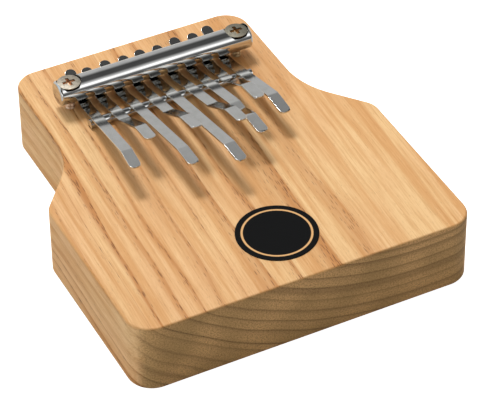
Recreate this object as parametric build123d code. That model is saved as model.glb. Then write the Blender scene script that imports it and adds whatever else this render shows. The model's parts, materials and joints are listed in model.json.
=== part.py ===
from build123d import *
from collections import namedtuple
from math import cos, radians, tan
import os

os.makedirs("parts", exist_ok=True)

# A nine-tine thumb piano: a solid wooden block with a narrow head, and flat spring tines held
# down by a round bar between two round bridges.
# Frame: millimetres, +Z up, +Y from the playing end to the head, origin at the middle of the
# block's underside. The board is the block's upper face.

# ---- Wooden block ----
block_width = 140.6
head_width = 101.2
block_length = 160.5
block_thickness = 29.5
shoulder_y = -1.2
waist_y = 23.1
front_corner_radius = 10.0
shoulder_radius = 8.5
waist_radius = 35.0
head_corner_radius = 10.0
edge_rounding = 1.0

# ---- Badge: a bare round disc let into the board ----
badge_diameter = 31.5
badge_thickness = 0.8
badge_proud = 0.25
badge_y = -53.2

# ---- Tines ----
tine_pitch = 7.9
tine_width = 4.6
tine_thickness = 0.8
tine_bend_radius = 2.5
tine_tip_corner = 1.9
tine_tail_corner = 2.2
tail_rise_deg = 17.0
lead_in_deg = 13.0

# Tines, left to right, as set by hand: how far each one is pushed aside from its even place, how
# far it is turned over the front bridge, how far its tail reaches behind the bar, and the bends
# and end of its free part, as (distance in front of the front bridge, height of the upper face
# above the board). Odd tines bend down near the end, tine 7 with a dip before it; even tines are
# shorter, with a steep ramp up to a raised playing end.
Tine = namedtuple("Tine", "nudge turn_deg tail run")
tines = (
    Tine(-0.8, -3.7, 14.5, ((32.9, 12.0), (43.4, 11.3))),
    Tine(-0.3, 0.0, 13.1, ((8.4, 6.0), (23.3, 13.1), (33.3, 14.1))),
    Tine(0.2, 0.5, 13.8, ((41.9, 12.4), (52.3, 12.1))),
    Tine(0.5, 1.1, 13.4, ((12.9, 6.9), (27.2, 14.7), (37.9, 16.5))),
    Tine(0.1, 1.5, 13.8, ((48.3, 13.1), (59.1, 12.3))),
    Tine(0.4, 2.8, 13.4, ((18.4, 8.3), (32.6, 15.9), (42.5, 16.9))),
    Tine(0.1, 1.5, 14.5, ((23.0, 9.7), (28.0, 9.3), (35.3, 12.2), (46.8, 11.6))),
    Tine(-0.5, 0.5, 13.9, ((3.8, 5.3), (19.6, 14.1), (31.4, 15.5))),
    Tine(-0.9, 1.3, 15.2, ((26.3, 10.7), (37.6, 9.5))),
)

# ---- Bridges: two plain rods bedded in shallow grooves ----
rod_radius = 2.0
rod_sink = 0.5
rod_overhang = 1.4
front_bridge_y = 36.9
crest_gap = 0.2
rear_gap = 0.6
groove_end_play = 0.2

# ---- Pressure bar ----
bar_radius = 5.1
bar_lift = 2.86
bar_y = 52.6
bar_end_margin = 5.3
bar_end_rounding = 1.0
bar_gap = 0.7

# ---- Screws that pull the bar down ----
screw_side_gap = 0.7
thread_radius = 2.0
thread_depth = 0.45
thread_pitch = 1.4
thread_play = 0.05
shank_play = 0.2
screw_in_wood = 17.0
head_radius = 4.6
head_rim = 0.3
head_dome = 0.25
head_seat_above_axis = 3.7
bearing_radius = 3.1
countersink_play = 0.35
countersink_drop = 0.8
recess_span = 4.4
recess_width = 0.75
recess_depth = 1.7
pilot_extra = 2.0

# ---- Derived positions ----
board = block_thickness
tine_span = (len(tines) - 1) * tine_pitch + tine_width
screw_x = tine_span / 2 + screw_side_gap + thread_radius
bar_half_length = screw_x + bar_end_margin
rod_axis_z = board + rod_radius - rod_sink
rod_length = tine_span + 2 * rod_overhang
crest_z = rod_axis_z + rod_radius + crest_gap + tine_thickness
bar_axis_z = board + bar_lift + bar_radius
held_radius = bar_radius + bar_gap
valley_z = bar_axis_z - held_radius
valley_back_y = bar_y + held_radius * tan(radians(tail_rise_deg) / 2)
valley_front_y = front_bridge_y + (crest_z - valley_z) / tan(radians(lead_in_deg))
rear_lift = (rod_radius + rear_gap + tine_thickness) / cos(radians(tail_rise_deg))
rear_bridge_y = valley_back_y + (rod_axis_z + rear_lift - valley_z) / tan(radians(tail_rise_deg))
head_seat_z = bar_axis_z + head_seat_above_axis
screw_tip_z = board - screw_in_wood


def save(shape, node):
    shape.label = node
    export_step(shape, f"parts/{node}.step")


def rod_along_x(radius, length, y, z):
    return Pos(0, y, z) * Rot(0, 90, 0) * Cylinder(radius, length)


def block_outline():
    half = block_length / 2
    right_side = [
        (block_width / 2, -half),
        (block_width / 2, shoulder_y),
        (head_width / 2, waist_y),
        (head_width / 2, half),
    ]
    left_side = [(-x, y) for x, y in reversed(right_side)]
    outline = make_face(Polyline(*right_side, *left_side, close=True))
    for (corner_x, corner_y), radius in zip(
        right_side,
        (front_corner_radius, shoulder_radius, waist_radius, head_corner_radius),
    ):
        corners = [
            v
            for v in outline.vertices()
            if abs(abs(v.X) - corner_x) < 1e-6 and abs(v.Y - corner_y) < 1e-6
        ]
        outline = fillet(corners, radius)
    return outline


def wooden_block():
    block = extrude(block_outline(), block_thickness)
    rims = block.faces().sort_by(Axis.Z)[0].edges() + block.faces().sort_by(Axis.Z)[-1].edges()
    block = fillet(rims, edge_rounding)
    for y in (front_bridge_y, rear_bridge_y):
        block -= rod_along_x(rod_radius, rod_length + 2 * groove_end_play, y, rod_axis_z)
    recess_floor = board - badge_thickness + badge_proud
    block -= Pos(0, badge_y, recess_floor) * extrude(Circle(badge_diameter / 2), badge_thickness)
    hole_depth = screw_in_wood + pilot_extra
    for side in (-1, 1):
        hole = extrude(Circle(thread_radius + thread_play), hole_depth)
        block -= Pos(side * screw_x, bar_y, board - hole_depth) * hole
    return block


def badge():
    disc = extrude(Circle(badge_diameter / 2), badge_thickness)
    return Pos(0, badge_y, board - badge_thickness + badge_proud) * disc


def head_profile():
    """Half section of the screw's head, its rim plane at z = 0, down to the shank."""
    cone_depth = head_radius - thread_radius
    dome = ThreePointArc(
        (0, head_rim + head_dome),
        (head_radius * 0.55, head_rim + head_dome * 0.72),
        (head_radius, head_rim),
    )
    outer = Polyline(
        (head_radius, head_rim),
        (head_radius, 0),
        (thread_radius, -cone_depth),
        (0, -cone_depth),
        (0, head_rim + head_dome),
    )
    return make_face(Plane.XZ * (dome + outer))


def countersink_profile():
    """Half section of the bar's countersink: open round the rim, then the cone the head bears on."""
    wall = head_radius + countersink_play
    outline = [
        (0, bar_radius),
        (wall, bar_radius),
        (wall, -countersink_drop),
        (bearing_radius, bearing_radius - head_radius),
        (thread_radius, thread_radius - head_radius),
        (0, thread_radius - head_radius),
    ]
    return make_face(Plane.XZ * Polyline(*outline, close=True))


def threaded_shank():
    """Shank from the head's cone to the point, its lower part cut with ring grooves."""
    top = head_seat_z - (head_radius - thread_radius)
    bar_underside = bar_axis_z - bar_radius
    points = [(0, top), (thread_radius, top), (thread_radius, bar_underside)]
    z = bar_underside
    while z - thread_pitch > screw_tip_z + thread_radius:
        points.append((thread_radius - thread_depth, z - thread_pitch / 2))
        points.append((thread_radius, z - thread_pitch))
        z -= thread_pitch
    points.append((0, screw_tip_z))
    return revolve(make_face(Plane.XZ * Polyline(*points, close=True)), Axis.Z)


def screw(side):
    head = Pos(0, 0, head_seat_z) * revolve(head_profile(), Axis.Z)
    body = head + threaded_shank()
    recess_bottom = head_seat_z + head_rim + head_dome - recess_depth
    for turn in (0, 90):
        slot = Rot(0, 0, turn) * Rectangle(recess_span, recess_width)
        body -= Pos(0, 0, recess_bottom) * extrude(slot, recess_depth * 2, taper=-12)
    return Pos(side * screw_x, bar_y, 0) * body


def pressure_bar():
    bar = rod_along_x(bar_radius, 2 * bar_half_length, bar_y, bar_axis_z)
    bar = fillet(bar.edges().filter_by(GeomType.CIRCLE), bar_end_rounding)
    for side in (-1, 1):
        place = Pos(side * screw_x, bar_y, 0)
        seat = Pos(0, 0, head_seat_z) * revolve(countersink_profile(), Axis.Z)
        hole = Cylinder(thread_radius + shank_play, 4 * bar_radius)
        bar -= place * (seat + Pos(0, 0, bar_axis_z) * hole)
    return bar


def bridge(y):
    return rod_along_x(rod_radius, rod_length, y, rod_axis_z)


def lower_line(upper, thickness):
    """The upper line's vertices moved down square to the strip, mitred at each bend."""
    lower = []
    for i, point in enumerate(upper):
        here = Vector(*point)
        ahead = (Vector(*upper[i + 1]) - here).normalized() if i + 1 < len(upper) else None
        behind = (here - Vector(*upper[i - 1])).normalized() if i else None
        along = ((ahead or behind) + (behind or ahead)).normalized()
        square = Vector(-along.Y, along.X)
        drop = thickness / along.dot(ahead or behind)
        shifted = here + square * drop
        lower.append((shifted.X, shifted.Y))
    return lower


def tine_strip(index):
    """One bent strip, from its tail behind the rear bridge to its playing end."""
    tine = tines[index]
    tail_y = bar_y + tine.tail
    tail_z = valley_z + (tail_y - valley_back_y) * tan(radians(tail_rise_deg))
    run = [(front_bridge_y - ahead, board + height) for ahead, height in tine.run]
    upper = [
        (tail_y, tail_z),
        (valley_back_y, valley_z),
        (valley_front_y, valley_z),
        (front_bridge_y, crest_z),
        *run,
    ]
    lower = lower_line(upper, tine_thickness)
    side_view = make_face(
        Plane.YZ
        * (
            FilletPolyline(*upper, radius=tine_bend_radius)
            + Line(upper[-1], lower[-1])
            + FilletPolyline(*reversed(lower), radius=tine_bend_radius)
            + Line(lower[0], upper[0])
        )
    )
    strip = extrude(side_view, tine_width / 2, both=True)
    tip_y = run[-1][0]
    plan = Pos(0, (tail_y + tip_y) / 2) * Rectangle(tine_width, tail_y - tip_y)
    plan = fillet(plan.vertices().group_by(Axis.Y)[0], tine_tip_corner)
    plan = fillet(plan.vertices().group_by(Axis.Y)[-1], tine_tail_corner)
    strip &= extrude(plan, 3 * block_thickness)
    even_place = (index - (len(tines) - 1) / 2) * tine_pitch
    turned = Rot(0, 0, tine.turn_deg) * Pos(0, -front_bridge_y, 0) * strip
    return Pos(even_place + tine.nudge, front_bridge_y, 0) * turned


save(wooden_block(), "block")
save(badge(), "badge")
save(bridge(front_bridge_y), "front_bridge")
save(bridge(rear_bridge_y), "rear_bridge")
save(pressure_bar(), "pressure_bar")
save(screw(-1), "screw_left")
save(screw(1), "screw_right")
for number in range(len(tines)):
    save(tine_strip(number), f"tine_{number + 1}")
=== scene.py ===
import json
import math
import bmesh
import bpy
from mathutils import Matrix, Vector


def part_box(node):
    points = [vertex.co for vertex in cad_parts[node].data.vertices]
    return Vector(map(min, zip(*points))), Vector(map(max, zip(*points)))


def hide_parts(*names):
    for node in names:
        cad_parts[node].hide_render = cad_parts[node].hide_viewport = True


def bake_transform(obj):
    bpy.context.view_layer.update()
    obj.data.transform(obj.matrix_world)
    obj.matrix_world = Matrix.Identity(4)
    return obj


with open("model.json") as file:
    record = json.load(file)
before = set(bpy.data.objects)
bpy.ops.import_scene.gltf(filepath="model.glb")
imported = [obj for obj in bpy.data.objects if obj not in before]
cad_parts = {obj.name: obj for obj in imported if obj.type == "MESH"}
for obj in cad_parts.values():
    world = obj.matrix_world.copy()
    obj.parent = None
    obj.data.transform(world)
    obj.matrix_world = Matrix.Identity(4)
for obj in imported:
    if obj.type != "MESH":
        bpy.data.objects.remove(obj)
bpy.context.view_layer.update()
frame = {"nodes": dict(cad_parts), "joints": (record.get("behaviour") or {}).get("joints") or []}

# Looks for a nine-tine thumb piano: ring-porous wood, polished bar, rods and spring tines, plated
# screws and a bare black badge. Lengths are metres in the part's frame, and millimetres where a
# comment says so; +Z is up and +Y runs to the head.

MM = 0.001

# ---- Camera: angles in degrees, lens and sensor in millimetres ----
VIEW_AZIMUTH = -26.68
VIEW_ELEVATION = 39.98
VIEW_ROLL = -0.61
VIEW_TARGET = Vector((0.01418, -0.0029, 0.0))
VIEW_DISTANCE = 1.07255
LENS = 196.57
SENSOR_WIDTH = 36

# ---- Studio ----
KEY_DIRECTION = (0.0, 0.49, 0.87)
KEY_DISTANCE = 1.5
KEY_SIZE = 0.40
KEY_POWER = 13.7
FLOOR_HALF = 3.0
FLOOR_Z = -0.1 * MM
FLOOR_GREY = (0.62, 0.62, 0.61, 1)
FLOOR_GLOW = 1.0
ROOM_STRENGTH = 2.0

# The room's light as (place, level) stops. The place runs from 0, level in front, over 0.5,
# overhead, to 1, level behind: a soft strip stands in front, and a pale backdrop behind.
ROOM_LEVEL = (
    (0.0, 0.05),
    (0.075, 0.09),
    (0.105, 0.13),
    (0.15, 0.62),
    (0.185, 1.0),
    (0.225, 0.97),
    (0.27, 0.50),
    (0.32, 0.26),
    (0.385, 0.075),
    (0.42, 0.05),
    (0.62, 0.045),
    (0.665, 0.09),
    (0.70, 0.18),
    (0.76, 0.29),
    (0.82, 0.33),
    (1.0, 0.33),
)
# The strip is only so wide. Beside it the room is dim in front and warm behind.
STRIP_MIDDLE = 0.34
STRIP_FADE = (0.12, 0.28)
BESIDE_LEVEL = ((0.0, 0.02), (0.30, 0.04), (0.45, 0.30), (0.70, 0.52), (1.0, 0.52))
BESIDE_TINT = (1.0, 0.90, 0.76)
# Pale panels, one to the left and one low in front on the left
LEFT_PANEL = (0.46, 0.54, 0.60, 1)
LOW_LEFT_PANEL = (0.88, 0.86, 0.84, 1)

# ---- Wood, in millimetres: the tree's rings, which show less towards the right ----
RING_WIDTH = 4.7
RING_SWAY = 6.0
RING_JITTER = 2.0
PITH_ACROSS = 54.0
PITH_HEIGHT = 160.0
GRAIN_LEAN = 0.05
QUIET_ACROSS = (15.0, 50.0)
QUIET_LEVEL = 0.35

# How dark the wood is from one ring's line to the next, as (share of the ring, darkness) stops
RING_LINE = (
    (0.0, 1.0),
    (0.08, 0.9),
    (0.20, 0.40),
    (0.42, 0.08),
    (0.86, 0.0),
    (0.95, 0.2),
    (1.0, 1.0),
)

# Changes per millimetre across the grain and along it, and a shift where one is given
SWAY_GRAIN = (0.03, 0.01)
FIBRE_GRAIN = (1.5, 0.05)
STREAK_GRAIN = (0.20, 0.006, 50.0)
FINE_GRAIN = (4.5, 0.25)
PATCH_GRAIN = (0.05, 0.015, 12.0)
PORE_GRAIN = (1.9, 0.17)

# ---- Screws, in millimetres: depth below the top, and distance out from the axis ----
RECESS_DEPTH = (0.3, 0.6)
RECESS_REACH = (3.2, 2.9)
# Where the painted shade on the head's rim wall starts and ends
SHADE_DEPTH = (0.5, 0.9)
SHADE_REACH = (3.0, 3.2)

# ---- Badge: where its ring's two edges start and end, as shares of the badge's radius ----
RING_INNER = (0.80, 0.82)
RING_OUTER = (0.87, 0.85)

# ---- Tines ----
EDGE_BEVEL = 0.11 * MM
CUT_SPACING = 1.5 * MM
HARD_EDGE = math.radians(40)
FLAT_ANGLE = math.radians(0.5)
MERGE_GAP = 1e-6
CUT_TOLERANCE = 1e-7


def srgb(red, green, blue):
    """A colour picked in 0-255 display values, as linear values."""
    values = [v / 255 for v in (red, green, blue)]
    linear = [v / 12.92 if v <= 0.04045 else ((v + 0.055) / 1.055) ** 2.4 for v in values]
    return (*linear, 1.0)


def darker(colour, share):
    """A display colour taken down to a share of each value, as linear values."""
    return srgb(*(channel * share for channel in colour))


class Graph:
    """Adds nodes to one node tree. Each method returns the new node's output."""

    def __init__(self, tree):
        self.tree = tree

    def node(self, kind, **settings):
        made = self.tree.nodes.new("ShaderNode" + kind)
        for name, value in settings.items():
            setattr(made, name, value)
        return made

    def feed(self, socket, value):
        if isinstance(value, bpy.types.NodeSocket):
            self.tree.links.new(value, socket)
        else:
            socket.default_value = value

    def math(self, operation, *values, clamp=False):
        made = self.node("Math", operation=operation, use_clamp=clamp)
        for socket, value in zip(made.inputs, values):
            self.feed(socket, value)
        return made.outputs[0]

    def times(self, a, b):
        return self.math("MULTIPLY", a, b)

    def minus(self, a, b):
        return self.math("SUBTRACT", a, b)

    def line(self, value, slope, start):
        """start plus value times slope."""
        return self.math("MULTIPLY_ADD", value, slope, start)

    def split(self, vector):
        made = self.node("SeparateXYZ")
        self.feed(made.inputs[0], vector)
        return made.outputs

    def join(self, x, y, z):
        made = self.node("CombineXYZ")
        for socket, value in zip(made.inputs, (x, y, z)):
            self.feed(socket, value)
        return made.outputs[0]

    def length(self, x, y, z):
        made = self.node("VectorMath", operation="LENGTH")
        self.feed(made.inputs[0], self.join(x, y, z))
        return made.outputs["Value"]

    def millimetres(self):
        """The part's own coordinates, in millimetres."""
        made = self.node("VectorMath", operation="SCALE")
        self.feed(made.inputs[0], self.node("TexCoord").outputs["Object"])
        made.inputs["Scale"].default_value = 1 / MM
        return self.split(made.outputs[0])

    def normal(self):
        return self.split(self.node("TexCoord").outputs["Normal"])

    def scaled(self, point, factors):
        """A point with each coordinate times its own factor."""
        return [self.times(value, factor) for value, factor in zip(point, factors)]

    def out_from(self, node, point):
        """Millimetres from the upright axis through the middle of a CAD node."""
        low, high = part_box(node)
        aside = [self.minus(point[i], (low[i] + high[i]) / 2 / MM) for i in (0, 1)]
        return self.length(*aside, 0.0)

    def noise(self, point, detail=2.0, roughness=0.5):
        """Smooth noise in 0-1, a new value about every unit of point."""
        made = self.node("TexNoise")
        self.feed(made.inputs["Vector"], self.join(*point))
        made.inputs["Scale"].default_value = 1
        made.inputs["Detail"].default_value = detail
        made.inputs["Roughness"].default_value = roughness
        return made.outputs["Fac"]

    def cells(self, point):
        """Distance to the nearest of scattered points, about one in each unit cube of point."""
        made = self.node("TexVoronoi", feature="F1")
        self.feed(made.inputs["Vector"], self.join(*point))
        made.inputs["Scale"].default_value = 1
        return made.outputs["Distance"]

    def chance(self, value):
        """A fixed random number in 0-1 for each whole value."""
        made = self.node("TexWhiteNoise", noise_dimensions="1D")
        self.feed(made.inputs["W"], value)
        return made.outputs["Value"]

    def ease(self, value, low, high, to_low=0.0, to_high=1.0):
        """value from low to high, eased onto to_low to to_high."""
        made = self.node("MapRange", interpolation_type="SMOOTHSTEP")
        for name, given in (
            ("Value", value),
            ("From Min", low),
            ("From Max", high),
            ("To Min", to_low),
            ("To Max", to_high),
        ):
            self.feed(made.inputs[name], given)
        return made.outputs[0]

    def curve(self, value, stops):
        """A number read off straight lines between (position, value) stops."""
        made = self.node("ValToRGB")
        elements = made.color_ramp.elements
        while len(elements) < len(stops):
            elements.new(0.5)
        for element, (position, level) in zip(elements, stops):
            element.position = position
            element.color = (level, level, level, 1)
        self.feed(made.inputs[0], value)
        return made.outputs["Color"]

    def mix(self, share, a, b):
        made = self.node("Mix", data_type="RGBA")
        self.feed(made.inputs[0], share)
        self.feed(made.inputs[6], a)
        self.feed(made.inputs[7], b)
        return made.outputs[2]

    def tint(self, base, colour, value, low, high, most=1.0):
        """base with colour mixed in, from none where value is low to most of it where high."""
        return self.mix(self.ease(value, low, high, 0.0, most), base, colour)

    def bump(self, height, strength, distance):
        made = self.node("Bump")
        self.feed(made.inputs["Height"], height)
        made.inputs["Strength"].default_value = strength
        made.inputs["Distance"].default_value = distance
        return made.outputs[0]

    def for_camera(self, others, seen):
        """The shader seen for the camera's own rays, and others for light and reflections."""
        made = self.node("MixShader")
        self.feed(made.inputs[0], self.node("LightPath").outputs["Is Camera Ray"])
        self.feed(made.inputs[1], others)
        self.feed(made.inputs[2], seen)
        return made.outputs[0]


def add_object(name, data):
    made = bpy.data.objects.new(name, data)
    bpy.context.scene.collection.objects.link(made)
    return made


def new_material(name, **constants):
    """A material with one Principled shader, its graph, and the shader's inputs."""
    material = bpy.data.materials.new(name)
    material.use_nodes = True
    graph = Graph(material.node_tree)
    shader = material.node_tree.nodes["Principled BSDF"]
    for socket, value in constants.items():
        shader.inputs[socket.replace("_", " ")].default_value = value
    return material, graph, shader.inputs


def edge_zone(graph, upright):
    """1 on a rounding between a face and its neighbour at right angles, 0 on both faces."""
    square = graph.times(upright, upright)
    rest = graph.minus(1.0, square)
    return graph.math("MULTIPLY", graph.times(square, 4.0), rest, clamp=True)


# ---- Materials ----

FACE_YELLOW = srgb(232, 192, 138)
FACE_PINK = srgb(226, 179, 127)
FACE_PALE = srgb(240, 206, 158)
FACE_TAN = srgb(212, 157, 98)
FACE_FIBRE = srgb(194, 137, 78)
FACE_BAND = srgb(180, 114, 50)
FACE_PORE = srgb(110, 66, 28)
END_TAN = srgb(220, 174, 116)
END_OLIVE = srgb(188, 150, 96)
END_BAND = srgb(126, 95, 58)
END_PORE = srgb(80, 57, 31)
WORN_EDGE = srgb(186, 132, 74)

STEEL = srgb(200, 200, 198)
STEEL_STAIN = srgb(192, 192, 188)
STEEL_BRUSHED = srgb(180, 180, 177)
# Pale steel for the painted highlight along the tines' rounded edges
STEEL_EDGE_HIGHLIGHT = srgb(236, 236, 234)
# Dark colour for the painted shade on the screw heads' rim walls
RIM_WALL_SHADE = srgb(60, 56, 52)
BADGE_BLACK = srgb(3, 4, 6)
BADGE_SPECK = srgb(11, 13, 15)
BADGE_RING = srgb(222, 174, 120)

BAR_PLATE = (206, 206, 205)
ROD_PLATE = (204, 204, 203)
SCREW_PLATE_AND_GRIME = {
    "screw_left": ((152, 145, 133), (226, 190, 158)),
    "screw_right": ((122, 118, 106), (206, 174, 130)),
}


def ring_pattern(g, across, y, z, sway):
    """Each ring's dark line in 0-1, and a fixed random strength for each ring."""
    ring_x = g.line(sway, RING_SWAY, g.minus(across, PITH_ACROSS + RING_SWAY / 2))
    radius = g.length(ring_x, 0.0, g.minus(z, PITH_HEIGHT))
    jitter = g.noise((g.times(radius, 0.16), 7.0, g.times(y, 0.004)), detail=2)
    rings = g.line(jitter, RING_JITTER, g.times(radius, 1 / RING_WIDTH))
    strength = g.ease(g.chance(g.math("FLOOR", rings)), 0.0, 0.8, 0.25, 1.0)
    return g.curve(g.math("FRACT", rings), RING_LINE), strength


def wood_material():
    """Rings round a pith that lies above the block, with rows of open pores in each ring."""
    material, g, shader = new_material("ash_wood", Specular_IOR_Level=0.3)
    x, y, z = g.millimetres()
    _, ny, nz = g.normal()
    across = g.line(y, -GRAIN_LEAN, x)

    def along_grain(fine, long, offset=0.0):
        """Noise input that changes every 1/fine mm across the grain and 1/long mm along it."""
        return g.line(across, fine, offset), g.times(y, long), g.times(z, fine)

    sway = g.noise(along_grain(*SWAY_GRAIN), detail=2)
    ring_line, strength = ring_pattern(g, across, y, z, sway)
    quiet = g.ease(across, *QUIET_ACROSS, 1.0, QUIET_LEVEL)
    band = g.times(g.times(ring_line, strength), quiet)

    fibre = g.noise(along_grain(*FIBRE_GRAIN), detail=4, roughness=0.7)
    streak = g.noise(along_grain(*STREAK_GRAIN), detail=3, roughness=0.55)
    fine = g.noise(along_grain(*FINE_GRAIN), detail=2)
    patch = g.noise(along_grain(*PATCH_GRAIN), detail=1)
    reach = g.line(band, 0.36, 0.14)
    near = g.math("DIVIDE", g.cells(along_grain(*PORE_GRAIN)), reach)
    pores = g.times(g.ease(near, 1.0, 0.5), g.line(band, 0.6, 0.4))

    face = g.tint(FACE_YELLOW, FACE_PINK, patch, 0.35, 0.65)
    face = g.tint(face, FACE_TAN, streak, 0.42, 0.62, most=0.9)
    face = g.tint(face, FACE_FIBRE, fibre, 0.45, 0.72, most=0.5)
    face = g.tint(face, FACE_PALE, g.minus(1.0, fibre), 0.52, 0.78, most=0.5)
    face = g.mix(g.times(band, 0.85), face, FACE_BAND)
    face = g.tint(face, FACE_FIBRE, fine, 0.5, 0.8, most=0.35)
    face = g.mix(g.times(pores, 0.85), face, FACE_PORE)

    end = g.tint(END_TAN, END_OLIVE, patch, 0.3, 0.7)
    end = g.tint(end, END_BAND, fibre, 0.44, 0.62, most=0.55)
    end = g.tint(end, END_BAND, fine, 0.45, 0.70, most=0.45)
    end = g.mix(g.times(ring_line, g.line(strength, 0.40, 0.32)), end, END_BAND)
    end = g.mix(g.times(pores, 0.85), end, END_PORE)

    end_share = g.ease(g.math("ABSOLUTE", ny), 0.45, 0.85)
    colour = g.mix(end_share, face, end)
    colour = g.mix(g.times(edge_zone(g, nz), 0.30), colour, WORN_EDGE)
    relief = g.line(pores, -1.0, g.times(fine, 0.3))
    g.feed(shader["Base Color"], colour)
    g.feed(shader["Roughness"], g.line(fibre, 0.15, 0.5))
    g.feed(shader["Normal"], g.bump(relief, 0.25, 0.12 * MM))
    return material


def polished_material(name, colour, roughness):
    """Plated metal with faint smears and very fine turning marks."""
    material, g, shader = new_material(name, Metallic=1.0)
    point = g.millimetres()
    smear = g.noise(g.scaled(point, (0.12, 0.4, 0.4)), detail=2)
    marks = g.noise(g.scaled(point, (9.0, 0.6, 0.6)), detail=1)
    plate = g.tint(srgb(*colour), darker(colour, 0.93), smear, 0.35, 0.75)
    g.feed(shader["Base Color"], plate)
    g.feed(shader["Roughness"], g.line(smear, 0.03, roughness))
    g.feed(shader["Normal"], g.bump(marks, 0.08, 0.01 * MM))
    return material


def tine_material():
    """Polished spring steel, with a painted highlight along the rounded side edges."""
    material, g, shader = new_material("spring_steel", Metallic=1.0)
    point = g.millimetres()
    nx, _, _ = g.normal()
    brushed = g.noise(g.scaled(point, (11.0, 0.35, 3.0)), detail=2)
    stain = g.noise(g.scaled(point, (0.3, 0.22, 0.3)), detail=2)
    steel = g.tint(STEEL, STEEL_STAIN, stain, 0.35, 0.8)
    steel = g.tint(steel, STEEL_BRUSHED, brushed, 0.3, 0.8, most=0.3)
    # Painted highlight: the rounded side edges are mixed towards pale steel
    steel = g.mix(g.times(edge_zone(g, nx), 0.6), steel, STEEL_EDGE_HIGHLIGHT)
    g.feed(shader["Base Color"], steel)
    g.feed(shader["Roughness"], g.line(brushed, 0.04, 0.08))
    g.feed(shader["Normal"], g.bump(brushed, 0.03, 0.003 * MM))
    return material


def screw_material(node, plate, grime):
    """Dull nickel plate, scuffed on top, with brown grime low in the cross recess and painted shade
    on the head's rim wall.
    """
    material, g, shader = new_material(f"{node}_nickel", Metallic=1.0)
    point = g.millimetres()
    out = g.out_from(node, point)
    _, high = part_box(node)
    depth = g.minus(high.z / MM, point[2])
    sunk = g.times(g.ease(depth, *RECESS_DEPTH), g.ease(out, *RECESS_REACH))
    # Painted shade: the head's rim wall, low and out past the recess
    painted_rim_shade = g.times(g.ease(depth, *SHADE_DEPTH), g.ease(out, *SHADE_REACH))
    stain = g.noise(g.scaled(point, (0.9, 0.9, 0.9)), detail=3)
    scuff = g.noise(g.scaled(point, (4.0, 4.0, 4.0)), detail=2)
    metal = g.tint(srgb(*plate), darker(plate, 0.84), stain, 0.35, 0.7)
    metal = g.tint(metal, darker(plate, 0.66), scuff, 0.5, 0.75, most=0.5)
    metal = g.mix(g.times(sunk, 0.85), metal, srgb(*grime))
    # Painted shade: the rim wall below the head's top is mixed towards a dark colour
    g.feed(shader["Base Color"], g.mix(g.times(painted_rim_shade, 0.8), metal, RIM_WALL_SHADE))
    g.feed(shader["Roughness"], g.line(stain, 0.2, 0.34))
    g.feed(shader["Normal"], g.bump(scuff, 0.2, 0.05 * MM))
    return material


def badge_material(node):
    """Black print with a thin wood-coloured ring."""
    material, g, shader = new_material("badge_black", Specular_IOR_Level=0.05)
    low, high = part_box(node)
    radius = (high.x - low.x) / 2 / MM
    point = g.millimetres()
    out = g.out_from(node, point)
    inner, outer = ([radius * share for share in edge] for edge in (RING_INNER, RING_OUTER))
    ring = g.times(g.ease(out, *inner), g.ease(out, *outer))
    speck = g.noise(g.scaled(point, (3.0, 3.0, 3.0)), detail=3)
    black = g.mix(speck, BADGE_BLACK, BADGE_SPECK)
    g.feed(shader["Base Color"], g.mix(ring, black, BADGE_RING))
    g.feed(shader["Roughness"], g.line(speck, 0.2, 0.5))
    g.feed(shader["Normal"], g.bump(speck, 0.05, 0.02 * MM))
    return material


def dress(node, material):
    """Puts one material on a CAD node."""
    for slot in frame["nodes"][node].material_slots:
        slot.link = "OBJECT"
        slot.material = material


# ---- Tines: one continuous bevelled strip each, clamped behind the front bridge ----


def cross_cuts(mesh, low, high):
    """Cuts the strip about every CUT_SPACING, so that it can bend smoothly."""
    count = int((high.y - low.y) / CUT_SPACING)
    for step in range(1, count):
        place = Vector((0, low.y + (high.y - low.y) * step / count, 0))
        everything = mesh.verts[:] + mesh.edges[:] + mesh.faces[:]
        bmesh.ops.bisect_plane(
            mesh, geom=everything, dist=CUT_TOLERANCE, plane_co=place, plane_no=(0, 1, 0)
        )


def tine_mesh(number, low, high):
    """The CAD tine's mesh with bevelled edges and cross cuts."""
    mesh = bmesh.new()
    mesh.from_mesh(frame["nodes"][f"tine_{number}"].data)
    bmesh.ops.remove_doubles(mesh, verts=mesh.verts, dist=MERGE_GAP)
    bmesh.ops.dissolve_limit(mesh, angle_limit=FLAT_ANGLE, verts=mesh.verts, edges=mesh.edges)
    hard = [e for e in mesh.edges if e.is_manifold and e.calc_face_angle() > HARD_EDGE]
    bmesh.ops.bevel(mesh, geom=hard, offset=EDGE_BEVEL, segments=2, profile=0.5, affect="EDGES")
    cross_cuts(mesh, low, high)
    data = bpy.data.meshes.new(f"tine_strip_{number}")
    mesh.to_mesh(data)
    mesh.free()
    for face in data.polygons:
        face.use_smooth = True
    data.set_sharp_from_angle(angle=HARD_EDGE)
    return data


def tine_piece(number, material):
    """A strip that stands for its CAD tine, whose own mesh it hides."""
    node = f"tine_{number}"
    low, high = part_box(node)
    data = tine_mesh(number, low, high)
    data.materials.append(material)
    piece = add_object(f"tine_strip_{number}", data)
    flat_faces = piece.modifiers.new("flat_faces", "WEIGHTED_NORMAL")
    flat_faces.weight = 100
    flat_faces.keep_sharp = True
    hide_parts(node)
    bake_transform(piece)


# ---- Studio ----


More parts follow.
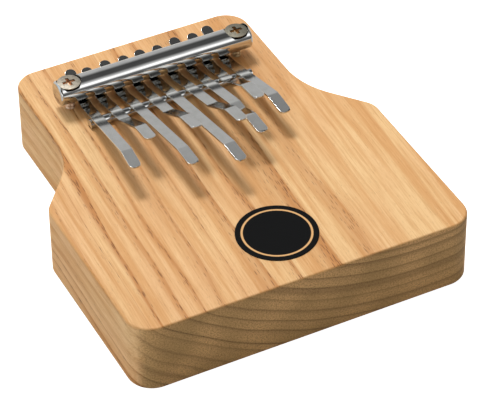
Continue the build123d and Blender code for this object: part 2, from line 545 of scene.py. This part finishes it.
def room_light(g):
    """The light that reaches the part from each direction."""
    x, y, z = g.split(g.node("TexCoord").outputs["Generated"])
    turn = g.math("ARCTAN2", z, g.times(y, -1.0))
    place = g.math("ABSOLUTE", g.math("DIVIDE", turn, math.pi))
    warm = g.node("VectorMath", operation="MULTIPLY")
    g.feed(warm.inputs[0], g.curve(place, BESIDE_LEVEL))
    g.feed(warm.inputs[1], BESIDE_TINT)
    beside = g.ease(g.math("ABSOLUTE", g.minus(x, STRIP_MIDDLE)), *STRIP_FADE)
    light = g.mix(beside, g.curve(place, ROOM_LEVEL), warm.outputs[0])
    left = g.times(g.ease(x, -0.25, -0.7), g.ease(y, -0.4, 0.0))
    light = g.mix(left, light, LEFT_PANEL)
    low_left = g.times(g.ease(x, -0.15, -0.5), g.ease(z, 0.4, 0.15))
    low_left = g.times(low_left, g.ease(y, 0.0, -0.3))
    return g.mix(low_left, light, LOW_LEFT_PANEL)


def studio_world():
    """White where the camera looks past the part, and the room's light for all the rest."""
    world = bpy.data.worlds.new("studio")
    world.use_nodes = True
    bpy.context.scene.world = world
    g = Graph(world.node_tree)
    room = g.node("Background")
    g.feed(room.inputs["Color"], room_light(g))
    room.inputs["Strength"].default_value = ROOM_STRENGTH
    seen = g.node("Background")
    seen.inputs["Color"].default_value = (1, 1, 1, 1)
    surface = world.node_tree.nodes["World Output"].inputs[0]
    g.feed(surface, g.for_camera(room.outputs[0], seen.outputs[0]))


def pale_floor():
    """A matt floor that takes the part's shadow and, to the camera, glows to near white."""
    material = bpy.data.materials.new("floor_white")
    material.use_nodes = True
    g = Graph(material.node_tree)
    matt = g.node("BsdfDiffuse")
    matt.inputs["Color"].default_value = FLOOR_GREY
    glow = g.node("Emission")
    glow.inputs["Strength"].default_value = FLOOR_GLOW
    lifted = g.node("AddShader")
    g.feed(lifted.inputs[0], matt.outputs[0])
    g.feed(lifted.inputs[1], glow.outputs[0])
    surface = material.node_tree.nodes["Material Output"].inputs[0]
    g.feed(surface, g.for_camera(matt.outputs[0], lifted.outputs[0]))
    data = bpy.data.meshes.new("floor")
    quarters = ((-1, -1), (1, -1), (1, 1), (-1, 1))
    corners = [(x * FLOOR_HALF, y * FLOOR_HALF, FLOOR_Z) for x, y in quarters]
    data.from_pydata(corners, [], [(0, 1, 2, 3)])
    data.materials.append(material)
    add_object("floor", data)


def key_light():
    """A round soft light high over the head's end, facing the part."""
    data = bpy.data.lights.new("key", "AREA")
    data.shape = "DISK"
    data.size = KEY_SIZE
    data.energy = KEY_POWER
    lamp = add_object("key", data)
    aim = Vector(KEY_DIRECTION).normalized()
    lamp.location = aim * KEY_DISTANCE
    lamp.rotation_mode = "QUATERNION"
    lamp.rotation_quaternion = aim.to_track_quat("Z", "Y")


def camera():
    azimuth, elevation, roll = (math.radians(v) for v in (VIEW_AZIMUTH, VIEW_ELEVATION, VIEW_ROLL))
    back = Vector(
        (
            math.sin(azimuth) * math.cos(elevation),
            -math.cos(azimuth) * math.cos(elevation),
            math.sin(elevation),
        )
    )
    level_right = Vector((math.cos(azimuth), math.sin(azimuth), 0))
    level_up = back.cross(level_right)
    right = level_right * math.cos(roll) + level_up * math.sin(roll)
    up = level_up * math.cos(roll) - level_right * math.sin(roll)
    data = bpy.data.cameras.new("camera")
    data.lens = LENS
    data.sensor_width = SENSOR_WIDTH
    made = add_object("camera", data)
    turn = Matrix((right, up, back)).transposed().to_4x4()
    made.matrix_world = Matrix.Translation(VIEW_TARGET + back * VIEW_DISTANCE) @ turn
    bpy.context.scene.camera = made


# ---- Put together ----

camera()
studio_world()
pale_floor()
key_light()
bpy.context.scene.view_settings.view_transform = "Standard"

dress("block", wood_material())
dress("badge", badge_material("badge"))
dress("pressure_bar", polished_material("chrome_bar", BAR_PLATE, roughness=0.02))
rod_metal = polished_material("chrome_rod", ROD_PLATE, roughness=0.05)
for rod in ("front_bridge", "rear_bridge"):
    dress(rod, rod_metal)
for screw, (plate, grime) in SCREW_PLATE_AND_GRIME.items():
    dress(screw, screw_material(screw, plate, grime))

steel = tine_material()
hinges = {j["child"]: Vector(j["pos_m"]) for j in frame["joints"]}
for number in range(1, len(hinges) + 1):
    tine_piece(number, steel)
